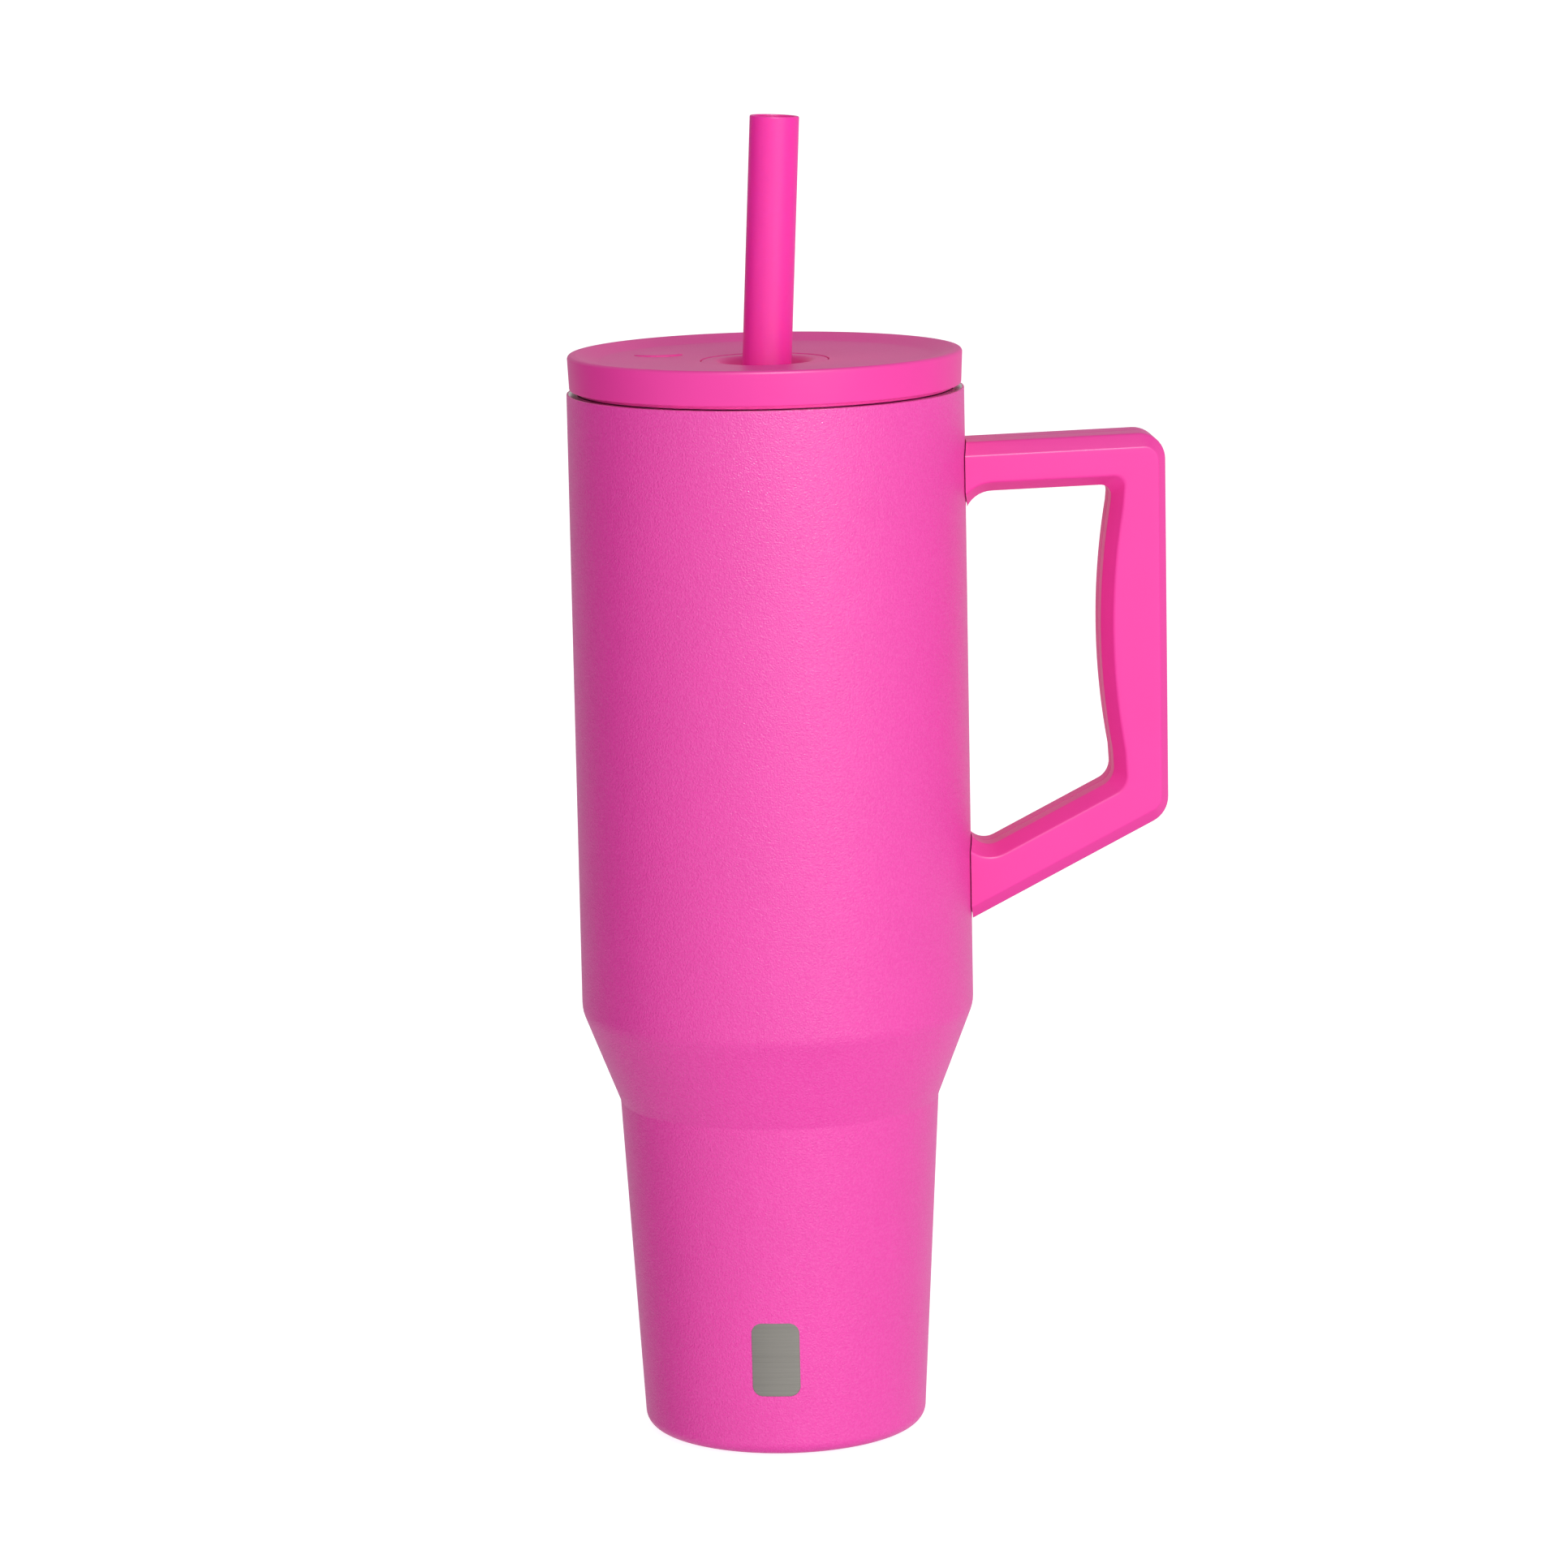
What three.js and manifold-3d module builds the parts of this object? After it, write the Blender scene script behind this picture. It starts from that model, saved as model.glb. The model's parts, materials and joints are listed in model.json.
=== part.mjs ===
// Insulated tumbler with a handle, a push-in lid and a straw.
// Millimetres, +Z up. The origin is the centre of the base on the surface that the tumbler stands on.
// The handle points along +X, and the front of the tumbler faces -Y.
import * as THREE from 'three';
import { mergeVertices } from 'three/addons/utils/BufferGeometryUtils.js';
import Module from 'manifold-3d';

const wasm = await Module();
wasm.setup();

// ---- Driving dimensions ----

const GAP = 0.3; // room left between neighbouring pieces
const ROUND = 32; // sides of the large round pieces
const ROUND_SMALL = 20; // sides of the pieces round the straw
const ROUND_SCREW = 12; // sides of the screws and their holes
const ARC_STEP = Math.PI / 5; // largest turn of one side of a rounded corner
const BALL_SIDES = 6; // sides along the seal's and its seat's outline

// Vessel
const SHEET = 0.6; // steel sheet
const VACUUM = 3.5; // vacuum space between the walls
const BARREL_R = 48.8;
const CONE_TOP_Z = 107.5;
const CONE_BOTTOM_Z = 84.3;
const CONE_BOTTOM_R = 39.8;
const FOOT_R = 35.1; // radius that the foot's wall would have at the steel's lowest level
const SHOULDER_ROUND = 8.7; // barrel into cone
const WAIST_ROUND = 2; // cone into foot
const BASE_ROUND = 3.6; // foot into bottom
const STEEL_Z = 0.4; // lowest level of the steel, above the pad's face
const BASE_OPENING_R = 30.3; // inner edge of the outer wall's bottom
const WALL_TOP_Z = 260.1;
const LIP_TOP_Z = 261.4;
const LIP_INNER_R = 45.6;
const LIP_R = 48.7;
const NECK_Z = 255; // the liner is straight below this level
const FLOOR_Z = 9; // inside floor
const FLOOR_ROUND = 7;

// Base
const OUTER_BASE_Z = 2.2;
const OUTER_BASE_R = 30;
const DIMPLE_R = 8;
const DIMPLE_RISE = 1.8;
const EVACUATION_HOLE_R = 1.2;
const PLUG_R = 3;
const PLUG_H = 1;
const PLUG_ROUND = 0.9;
const GETTER_R = 5;
const GETTER_H = 1.8;
const PAD_R = 28.8;
const PAD_H = 1.8;

// Handle, in the X-Z plane
const HANDLE_DEPTH = 20.4; // along Y
const CHAMFER_IN = 3.2;
const CHAMFER_DEEP = 3.3;
const HANDLE_WALL = 2.6;
const ARM_ROOT_X = 36; // arms start inside the barrel and are cut to its wall
const GRIP_OUTER_X = 97.8;
const GRIP_INNER_X = 84.6;
const GRIP_SWELL = 3.1; // how far the grip bulges towards the barrel at mid height
const GRIP_SWELL_STEPS = 6;
const UPPER_ARM = { top: 247.8, under: 235.3, slope: 0.025 }; // heights at the barrel's wall
const LOWER_ARM = { top: 144.5, under: 128.9, slope: 0.508 };
const FLARE_X = 48; // where the arms' inner edges turn along the barrel
const UPPER_FLARE_ROUND = 7;
const LOWER_FLARE_ROUND = 5;
const FLARE_LENGTH = 12; // how far the flare's straight stretch runs along the barrel
const OUTER_TOP_ROUND = 6.5;
const OUTER_BOTTOM_ROUND = 7;
const INNER_TOP_ROUND = 2.5;
const INNER_BOTTOM_ROUND = 5;

// Brackets and screws
const BRACKET_HEIGHT = 6.6;
const BRACKET_END_X = 76;
const TONGUE_THICK = 3;
const BRACKET_FOOT_THICK = 1.8;
const BRACKET_FOOT_WIDTH = 12.4;
const SCREW_X = [58, 70]; // on each arm
const SCREW_R = 1.5;
const SCREW_HEAD_R = 2.7;
const SCREW_HEAD_H = 1.8;
const SCREW_HEAD_SUNK = 0.4; // below the handle's back face
const SCREW_TIP_Y = -6;
const BOSS_R = 3.5;

// Lid
const LID_BOTTOM_Z = 262.1;
const LID_TOP_Z = 270.9;
const LID_R = 48.5; // at the top, the skirt draws in slightly downwards
const LID_BOTTOM_R = 48.1;
const LID_WALL = 2.2;
const LID_RIM_R = 46.2; // inner edge of the raised rim
const SKIRT_ROUND = 0.5; // lower edge of the skirt
const RIM_OUTER_ROUND = 1.2;
const RIM_INNER_ROUND = 0.6;
const DISH_R = 41;
const DISH_Z = 269.2;
const DISH_MIDDLE_Z = 268.8;
const DISH_ROUND = 4; // rim's slope into the dish
const PLUG_OUTER_R = 43;
const PLUG_INNER_R = 39;
const PLUG_FLANGE_R = 45.6;
const PLUG_FLANGE_H = 2;
const LID_PLUG_ROUND = 1;
const LID_PLUG_FLOOR_Z = 247;
const LID_PLUG_FLOOR_H = 2;
const GROOVE = { low: 252, high: 257.6, r: 41.2 };
const GASKET_R = 43.7;
const GASKET_WAIST_R = 42.8;
const GASKET_LIP_ROUND = 0.3;

// Straw, its collar and its seal. The seal rocks about the pivot.
const PIVOT_Z = 257;
const LEAN = THREE.MathUtils.degToRad(2.9); // the straw leans towards the handle
const COLLAR_R = 15.6;
const COLLAR_FLANGE_H = 2;
const COLLAR_TUBE_R = 11.2;
const COLLAR_BOTTOM_Z = 246;
const COLLAR_FOOT_ROUND = 0.8;
const COLLAR_EDGE_ROUND = 0.4;
const FUNNEL_R = 11.6;
const FUNNEL_BOTTOM_Z = 263.2;
const FUNNEL_ROUND = 2;
const COLLAR_HOLE_R = 8.2;
const COLLAR_FOOT_HOLE_R = 7.1;
const SEAL_R = 9;
const SEAL_HALF_H = 4.6;
const SEAT_R = SEAL_R + 0.35;
const STRAW_R = 6.05;
const STRAW_WALL = 0.85;
const STRAW_ABOVE = 71.3; // along the straw, from the pivot to its mouth
const STRAW_BELOW = 243.2; // from the pivot to its foot
const STOPPER_R = 8.4;
const STOPPER_H = 6;
const STOPPER_UP = 12; // from the straw's foot to the stopper
const STOPPER_LOWER_ROUND = 1;
const STOPPER_UPPER_ROUND = 2;

// ---- Materials ----

const standard = (color, roughness, metalness) =>
  new THREE.MeshStandardMaterial({ color, roughness, metalness });
const COLOURS = {
  coat: [0xf7409f, 0.5, 0],
  plastic: [0xf7409f, 0.42, 0],
  straw: [0xfa3dab, 0.25, 0],
  silicone: [0xd8368a, 0.7, 0],
  steel: [0x9c948c, 0.35, 1],
  getter: [0x55504c, 0.8, 0.3],
};

// ---- Geometry helpers ----

// Closed outline whose corners [x, y, radius] become tangent arcs. A corner with no radius stays sharp.
function rounded(corners) {
  const points = [];
  corners.forEach(([x, y, radius = 0], i) => {
    const at = new THREE.Vector2(x, y);
    if (!radius) {
      points.push(at);
      return;
    }
    const before = corners.at(i - 1);
    const after = corners[(i + 1) % corners.length];
    const back = new THREE.Vector2(before[0] - x, before[1] - y).normalize();
    const on = new THREE.Vector2(after[0] - x, after[1] - y).normalize();
    const half = Math.acos(THREE.MathUtils.clamp(back.dot(on), -1, 1)) / 2;
    const turn = Math.sign(on.cross(back)) * (Math.PI - 2 * half);
    const centre = back.clone().add(on).normalize().multiplyScalar(radius / Math.sin(half)).add(at);
    const first = back.multiplyScalar(radius / Math.tan(half)).add(at).sub(centre);
    const steps = Math.ceil(Math.abs(turn) / ARC_STEP);
    for (let k = 0; k <= steps; k += 1) {
      points.push(first.clone().rotateAround(new THREE.Vector2(), (turn * k) / steps).add(centre));
    }
  });
  return points;
}

// Corners of an outline moved sideways by a distance, to the left of its direction when positive.
// Rounded corners keep their centres, so a sheet keeps its thickness round them.
function shifted(corners, distance, closed = false) {
  const last = corners.length - 1;
  const leftOf = (i) => {
    const [x0, y0] = corners.at(i);
    const [x1, y1] = corners[(i + 1) % corners.length];
    return new THREE.Vector2(y0 - y1, x1 - x0).normalize();
  };
  return corners.map(([x, y, radius], i) => {
    const before = leftOf(closed || i > 0 ? i - 1 : 0);
    const after = leftOf(closed || i < last ? i : last - 1);
    const bend = Math.sign(before.cross(after));
    const sum = before.add(after);
    const step = sum.multiplyScalar((2 * distance) / sum.lengthSq());
    return [x + step.x, y + step.y, radius && Math.max(radius - distance * bend, 0)];
  });
}

// Solid of revolution about Z from an outline in (radius, height), counter-clockwise.
function turned(outline, sides) {
  const startsOnAxis = outline[0].x === 0;
  const points = startsOnAxis ? outline : [...outline, outline[0]];
  return new THREE.LatheGeometry(points, sides).rotateX(Math.PI / 2);
}

// Plate in the X-Z plane, centred on Y = 0.
function plate(outline, depth, chamferDeep = 0, chamferIn = 0) {
  const straight = depth - 2 * chamferDeep;
  const geometry = new THREE.ExtrudeGeometry(new THREE.Shape(outline), {
    depth: straight,
    bevelEnabled: chamferDeep > 0,
    bevelThickness: chamferDeep,
    bevelSize: chamferIn,
    bevelOffset: -chamferIn,
    bevelSegments: 1,
  });
  return geometry.translate(0, 0, -straight / 2).rotateX(Math.PI / 2);
}

// Box between two corners.
function block(low, high) {
  const size = high.map((value, k) => value - low[k]);
  const middle = high.map((value, k) => (value + low[k]) / 2);
  return new THREE.BoxGeometry(...size).translate(...middle);
}

// Rod along Y between two levels, with its middle at (x, z).
function rod(radius, lowY, highY, [x, z]) {
  return new THREE.CylinderGeometry(radius, radius, highY - lowY, ROUND_SCREW)
    .translate(x, (lowY + highY) / 2, z);
}

function solid(geometry) {
  const bare = geometry.clone();
  bare.deleteAttribute('normal');
  bare.deleteAttribute('uv');
  const merged = mergeVertices(bare, 1e-4);
  return new wasm.Manifold(new wasm.Mesh({
    numProp: 3,
    vertProperties: Float32Array.from(merged.attributes.position.array),
    triVerts: Uint32Array.from(merged.index.array),
  }));
}

function geometryOf(body) {
  const mesh = body.getMesh();
  const geometry = new THREE.BufferGeometry();
  geometry.setAttribute('position', new THREE.BufferAttribute(mesh.vertProperties, 3));
  geometry.setIndex(new THREE.BufferAttribute(mesh.triVerts, 1));
  geometry.computeVertexNormals();
  return geometry;
}

function named(name, geometry, finish) {
  const mesh = new THREE.Mesh(geometry, standard(...COLOURS[finish]));
  mesh.name = name;
  return mesh;
}

// ---- Vessel ----

// The vessel's outside from the bottom edge up to a given level, as corners (radius, height, rounding).
const vesselSide = (topZ) => [
  [FOOT_R, STEEL_Z, BASE_ROUND],
  [CONE_BOTTOM_R, CONE_BOTTOM_Z, WAIST_ROUND],
  [BARREL_R, CONE_TOP_Z, SHOULDER_ROUND],
  [BARREL_R, topZ],
];

function outerWall() {
  const outside = [[BASE_OPENING_R, STEEL_Z], ...vesselSide(WALL_TOP_Z)];
  const inside = shifted(outside, SHEET).toReversed();
  return turned(rounded([...outside, ...inside]), ROUND);
}

// The liner follows the outer wall at the depth of the vacuum space, and carries the lip.
function innerWall() {
  const follow = (depth) => shifted(vesselSide(NECK_Z), depth).slice(1);
  const outside = follow(SHEET + VACUUM);
  const inside = follow(SHEET * 2 + VACUUM).toReversed();
  const taper = (CONE_BOTTOM_R - FOOT_R) / (CONE_BOTTOM_Z - STEEL_Z);
  const footR = (z, depth) => FOOT_R + taper * (z - STEEL_Z) - depth;
  const lip = [
    [LIP_R - SHEET, WALL_TOP_Z + GAP],
    [LIP_R, WALL_TOP_Z + GAP],
    [LIP_R, LIP_TOP_Z, SHEET],
    [LIP_INNER_R, LIP_TOP_Z, SHEET],
  ];
  return turned(rounded([
    [0, FLOOR_Z - SHEET],
    [footR(FLOOR_Z, SHEET + VACUUM), FLOOR_Z - SHEET, FLOOR_ROUND],
    ...outside,
    ...lip,
    ...inside,
    [footR(FLOOR_Z, SHEET * 2 + VACUUM), FLOOR_Z, FLOOR_ROUND - SHEET],
    [0, FLOOR_Z],
  ]), ROUND);
}

// Disc with a down-turned edge and a raised middle that has the evacuation hole.
function outerBase() {
  const under = [
    [OUTER_BASE_R - SHEET, STEEL_Z],
    [OUTER_BASE_R - SHEET, OUTER_BASE_Z],
    [DIMPLE_R, OUTER_BASE_Z],
    [DIMPLE_R - DIMPLE_RISE, OUTER_BASE_Z + DIMPLE_RISE],
    [EVACUATION_HOLE_R, OUTER_BASE_Z + DIMPLE_RISE],
  ];
  return turned(rounded([...shifted(under, -SHEET), ...under.toReversed()]), ROUND);
}

function vacuumPlug() {
  const top = OUTER_BASE_Z + DIMPLE_RISE - GAP;
  return turned(rounded([[0, top - PLUG_H], [PLUG_R, top - PLUG_H, PLUG_ROUND], [PLUG_R, top], [0, top]]),
    ROUND_SMALL);
}

function getter() {
  const top = FLOOR_Z - SHEET - GAP;
  return turned(rounded([[0, top - GETTER_H], [GETTER_R, top - GETTER_H], [GETTER_R, top], [0, top]]),
    ROUND_SMALL);
}

function basePad() {
  return turned(rounded([[0, 0], [PAD_R, 0, PAD_H / 2], [PAD_R, PAD_H], [0, PAD_H]]), ROUND);
}

// ---- Handle ----

const armZ = (arm, edge, x) => arm[edge] + arm.slope * (x - BARREL_R);
const armMiddle = (arm, x) => [x, (armZ(arm, 'top', x) + armZ(arm, 'under', x)) / 2];

// Corners of the handle's outline, open towards the barrel, counter-clockwise seen from the front.
function handleCorners() {
  const high = armZ(UPPER_ARM, 'under', GRIP_INNER_X) - INNER_TOP_ROUND;
  const low = armZ(LOWER_ARM, 'top', GRIP_INNER_X) + INNER_BOTTOM_ROUND;
  const swell = Array.from({ length: GRIP_SWELL_STEPS - 1 }, (_, i) => {
    const t = 1 - (2 * (i + 1)) / GRIP_SWELL_STEPS;
    return [GRIP_INNER_X - GRIP_SWELL * (1 - t * t), (high + low) / 2 + (t * (high - low)) / 2];
  });
  const upperFlareZ = UPPER_ARM.under - FLARE_LENGTH;
  const lowerFlareZ = LOWER_ARM.top + FLARE_LENGTH;
  return [
    [ARM_ROOT_X, armZ(LOWER_ARM, 'under', ARM_ROOT_X)],
    [GRIP_OUTER_X, armZ(LOWER_ARM, 'under', GRIP_OUTER_X), OUTER_BOTTOM_ROUND],
    [GRIP_OUTER_X, armZ(UPPER_ARM, 'top', GRIP_OUTER_X), OUTER_TOP_ROUND],
    [ARM_ROOT_X, armZ(UPPER_ARM, 'top', ARM_ROOT_X)],
    [ARM_ROOT_X, upperFlareZ],
    [FLARE_X, upperFlareZ],
    [FLARE_X, armZ(UPPER_ARM, 'under', FLARE_X), UPPER_FLARE_ROUND],
    [GRIP_INNER_X, armZ(UPPER_ARM, 'under', GRIP_INNER_X), INNER_TOP_ROUND],
    ...swell,
    [GRIP_INNER_X, armZ(LOWER_ARM, 'top', GRIP_INNER_X), INNER_BOTTOM_ROUND],
    [FLARE_X, armZ(LOWER_ARM, 'top', FLARE_X), LOWER_FLARE_ROUND],
    [FLARE_X, lowerFlareZ],
    [ARM_ROOT_X, lowerFlareZ],
  ];
}

const screwSpots = [UPPER_ARM, LOWER_ARM].flatMap((arm) => SCREW_X.map((x) => armMiddle(arm, x)));
const headLow = HANDLE_DEPTH / 2 - SCREW_HEAD_SUNK - SCREW_HEAD_H;

// Screw grown by a margin, so that the same shape cuts its hole.
function screwShape(spot, margin) {
  const shank = rod(SCREW_R + margin, SCREW_TIP_Y - margin, headLow + GAP, spot);
  const head = rod(SCREW_HEAD_R + margin, headLow - margin, headLow + SCREW_HEAD_H + margin, spot);
  return solid(shank).add(solid(head));
}

// The barrel and the gap round it, which the handle's pieces are cut to.
function barrelSpace() {
  return solid(turned(rounded([
    [0, 0],
    [BARREL_R + GAP, 0],
    [BARREL_R + GAP, LID_TOP_Z],
    [0, LID_TOP_Z],
  ]), ROUND));
}

// Half of the handle: side -1 is the front shell, side 1 the back shell with the screw recesses.
function handleShell(side) {
  const corners = handleCorners();
  const hollowDepth = HANDLE_DEPTH - 2 * CHAMFER_DEEP;
  const outside = solid(plate(rounded(corners), HANDLE_DEPTH, CHAMFER_DEEP, CHAMFER_IN));
  const hollow = solid(plate(rounded(shifted(corners, HANDLE_WALL, true)), hollowDepth));
  const bossSpan = [TONGUE_THICK / 2 + GAP, hollowDepth / 2 + GAP].map((y) => y * side).sort((a, b) => a - b);
  const [lowY, highY] = side < 0 ? [-GAP / 2, HANDLE_DEPTH] : [-HANDLE_DEPTH, GAP / 2];
  const otherHalf = block([0, lowY, 0], [GRIP_OUTER_X + 1, highY, LID_TOP_Z]);
  let shell = outside.subtract(hollow);
  screwSpots.forEach((spot) => {
    shell = shell.add(solid(rod(BOSS_R, ...bossSpan, spot)));
  });
  shell = shell.subtract(solid(otherHalf)).subtract(barrelSpace());
  screwSpots.forEach((spot) => {
    const recess = rod(SCREW_HEAD_R + GAP, headLow, HANDLE_DEPTH, spot);
    shell = shell.subtract(screwShape(spot, GAP)).subtract(solid(recess));
  });
  return geometryOf(shell);
}

// Steel foot that follows the wall, with a tongue along the arm.
function bracket(arm) {
  const wallR = BARREL_R + GAP;
  const [, rootZ] = armMiddle(arm, wallR);
  const half = BRACKET_HEIGHT / 2;
  const ring = turned(rounded([
    [wallR, rootZ - half],
    [wallR + BRACKET_FOOT_THICK, rootZ - half],
    [wallR + BRACKET_FOOT_THICK, rootZ + half],
    [wallR, rootZ + half],
  ]), ROUND);
  const width = BRACKET_FOOT_WIDTH / 2;
  const window = block([0, -width, rootZ - half - 1], [GRIP_OUTER_X, width, rootZ + half + 1]);
  const tongue = block([BRACKET_FOOT_THICK / 2, -TONGUE_THICK / 2, -half],
    [(BRACKET_END_X - wallR) * Math.hypot(1, arm.slope), TONGUE_THICK / 2, half])
    .rotateY(-Math.atan(arm.slope)).translate(wallR, 0, rootZ);
  let body = solid(ring).intersect(solid(window)).add(solid(tongue)).subtract(barrelSpace());
  screwSpots.forEach((spot) => {
    body = body.subtract(screwShape(spot, GAP));
  });
  return geometryOf(body);
}

// ---- Lid ----

function lidShell() {
  const holeR = COLLAR_R + GAP;
  const ledgeR = COLLAR_TUBE_R + GAP;
  const ledgeZ = DISH_MIDDLE_Z - COLLAR_FLANGE_H - GAP * 2;
  const innerR = LID_BOTTOM_R - LID_WALL;
  const underZ = DISH_MIDDLE_Z - LID_WALL;
  return turned(rounded([
    [innerR, LID_BOTTOM_Z],
    [LID_BOTTOM_R, LID_BOTTOM_Z, SKIRT_ROUND],
    [LID_R, LID_TOP_Z, RIM_OUTER_ROUND],
    [LID_RIM_R, LID_TOP_Z, RIM_INNER_ROUND],
    [DISH_R, DISH_Z, DISH_ROUND],
    [holeR, DISH_MIDDLE_Z],
    [holeR, ledgeZ],
    [ledgeR, ledgeZ],
    [ledgeR, ledgeZ - LID_WALL],
    [holeR + LID_WALL, ledgeZ - LID_WALL],
    [holeR + LID_WALL, underZ],
    [innerR, underZ],
  ]), ROUND);
}

function lidPlug() {
  const holeR = COLLAR_TUBE_R + GAP;
  const flangeTop = DISH_MIDDLE_Z - LID_WALL - GAP;
  const flangeBottom = flangeTop - PLUG_FLANGE_H;
  return turned(rounded([
    [holeR, LID_PLUG_FLOOR_Z],
    [PLUG_OUTER_R, LID_PLUG_FLOOR_Z, LID_PLUG_ROUND],
    [PLUG_OUTER_R, GROOVE.low],
    [GROOVE.r, GROOVE.low],
    [GROOVE.r, GROOVE.high],
    [PLUG_OUTER_R, GROOVE.high],
    [PLUG_OUTER_R, flangeBottom],
    [PLUG_FLANGE_R, flangeBottom],
    [PLUG_FLANGE_R, flangeTop],
    [PLUG_INNER_R, flangeTop],
    [PLUG_INNER_R, LID_PLUG_FLOOR_Z + LID_PLUG_FLOOR_H],
    [holeR, LID_PLUG_FLOOR_Z + LID_PLUG_FLOOR_H],
  ]), ROUND);
}

// Ring with a sealing lip above and below a waist.
function lidGasket() {
  const low = GROOVE.low + GAP;
  const high = GROOVE.high - GAP;
  const lipH = (high - low) / 4;
  const innerR = GROOVE.r + GAP;
  return turned(rounded([
    [innerR, low],
    [GASKET_WAIST_R, low],
    [GASKET_R, low + lipH, GASKET_LIP_ROUND],
    [GASKET_WAIST_R, (low + high) / 2],
    [GASKET_R, high - lipH, GASKET_LIP_ROUND],
    [GASKET_WAIST_R, high],
    [innerR, high],
  ]), ROUND);
}

// ---- Straw, collar and seal ----

// Points of a ball's outline about the pivot, between two heights.
function ballArc(radius, fromZ, toZ) {
  const first = Math.asin(fromZ / radius);
  const last = Math.asin(toZ / radius);
  return Array.from({ length: BALL_SIDES + 1 }, (_, i) => {
    const angle = first + ((last - first) * i) / BALL_SIDES;
    return [radius * Math.cos(angle), radius * Math.sin(angle)];
  });
}

function strawCollar() {
  const seatTop = Math.sqrt(SEAT_R ** 2 - COLLAR_HOLE_R ** 2);
  const seatBottom = -Math.sqrt(SEAT_R ** 2 - COLLAR_FOOT_HOLE_R ** 2);
  const flangeZ = DISH_MIDDLE_Z - COLLAR_FLANGE_H;
  return turned(rounded([
    [COLLAR_FOOT_HOLE_R, COLLAR_BOTTOM_Z],
    [COLLAR_TUBE_R, COLLAR_BOTTOM_Z, COLLAR_FOOT_ROUND],
    [COLLAR_TUBE_R, flangeZ],
    [COLLAR_R, flangeZ],
    [COLLAR_R, DISH_MIDDLE_Z, COLLAR_EDGE_ROUND],
    [FUNNEL_R, DISH_MIDDLE_Z, FUNNEL_ROUND],
    [COLLAR_HOLE_R, FUNNEL_BOTTOM_Z],
    ...ballArc(SEAT_R, seatTop, seatBottom).map(([r, z]) => [r, z + PIVOT_Z]),
  ]), ROUND_SMALL);
}

function strawSeal() {
  const boreR = STRAW_R + GAP;
  return turned(rounded([
    [boreR, -SEAL_HALF_H],
    ...ballArc(SEAL_R, -SEAL_HALF_H, SEAL_HALF_H),
    [boreR, SEAL_HALF_H],
  ]), ROUND_SMALL);
}

function strawTube() {
  const boreR = STRAW_R - STRAW_WALL;
  return turned(rounded([
    [boreR, -STRAW_BELOW],
    [STRAW_R, -STRAW_BELOW],
    [STRAW_R, STRAW_ABOVE],
    [boreR, STRAW_ABOVE],
  ]), ROUND_SMALL);
}

function strawStopper() {
  const low = STOPPER_UP - STRAW_BELOW;
  const boreR = STRAW_R + GAP;
  return turned(rounded([
    [boreR, low],
    [STOPPER_R, low, STOPPER_LOWER_ROUND],
    [STOPPER_R, low + STOPPER_H, STOPPER_UPPER_ROUND],
    [boreR, low + STOPPER_H],
  ]), ROUND_SMALL);
}

// ---- Assembly ----

const tumbler = new THREE.Group();
tumbler.add(
  named('outer_wall', outerWall(), 'coat'),
  named('inner_wall', innerWall(), 'steel'),
  named('outer_base', outerBase(), 'steel'),
  named('getter', getter(), 'getter'),
  named('vacuum_plug', vacuumPlug(), 'steel'),
  named('base_pad', basePad(), 'silicone'),
  named('handle_front_shell', handleShell(-1), 'plastic'),
  named('handle_back_shell', handleShell(1), 'plastic'),
  named('handle_upper_bracket', bracket(UPPER_ARM), 'steel'),
  named('handle_lower_bracket', bracket(LOWER_ARM), 'steel'),
  ...screwSpots.map((spot, i) => named(`handle_screw_${i + 1}`, geometryOf(screwShape(spot, 0)), 'steel')),
  named('lid_shell', lidShell(), 'plastic'),
  named('lid_plug', lidPlug(), 'plastic'),
  named('lid_gasket', lidGasket(), 'silicone'),
  named('straw_collar', strawCollar(), 'plastic'),
);

// The seal and the straw share the straw's own axis, which leans about the pivot.
const leaning = new THREE.Group();
leaning.position.z = PIVOT_Z;
leaning.rotation.y = LEAN;
leaning.add(
  named('straw_seal', strawSeal(), 'silicone'),
  named('straw_tube', strawTube(), 'straw'),
  named('straw_stopper', strawStopper(), 'silicone'),
);
tumbler.add(leaning);

export default tumbler;
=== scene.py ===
"""Looks of the insulated tumbler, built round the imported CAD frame.

Outlines are in millimetres, meshes in metres.
"""
import json
from math import acos, asin, atan2, ceil, cos, pi, radians, sin, sqrt, tan

import bpy
from mathutils import Matrix, Vector


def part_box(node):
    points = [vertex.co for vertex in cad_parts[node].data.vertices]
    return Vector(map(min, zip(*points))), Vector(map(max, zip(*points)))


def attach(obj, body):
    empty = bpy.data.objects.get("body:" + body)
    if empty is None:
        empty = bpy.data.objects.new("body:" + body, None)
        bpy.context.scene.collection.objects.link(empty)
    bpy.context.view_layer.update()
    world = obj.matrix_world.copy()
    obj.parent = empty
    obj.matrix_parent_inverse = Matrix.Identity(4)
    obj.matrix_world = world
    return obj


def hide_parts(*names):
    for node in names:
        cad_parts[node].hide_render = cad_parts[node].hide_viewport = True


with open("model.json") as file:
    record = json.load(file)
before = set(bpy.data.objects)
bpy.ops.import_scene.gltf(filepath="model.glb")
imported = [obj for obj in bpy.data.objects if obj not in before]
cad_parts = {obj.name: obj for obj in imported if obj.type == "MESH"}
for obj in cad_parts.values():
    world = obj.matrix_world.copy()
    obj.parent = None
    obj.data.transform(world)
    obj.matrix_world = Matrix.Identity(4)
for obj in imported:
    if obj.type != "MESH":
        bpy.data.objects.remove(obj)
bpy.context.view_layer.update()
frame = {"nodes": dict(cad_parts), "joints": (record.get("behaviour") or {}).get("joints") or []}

MM = 0.001
SCENE = bpy.context.scene


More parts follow.
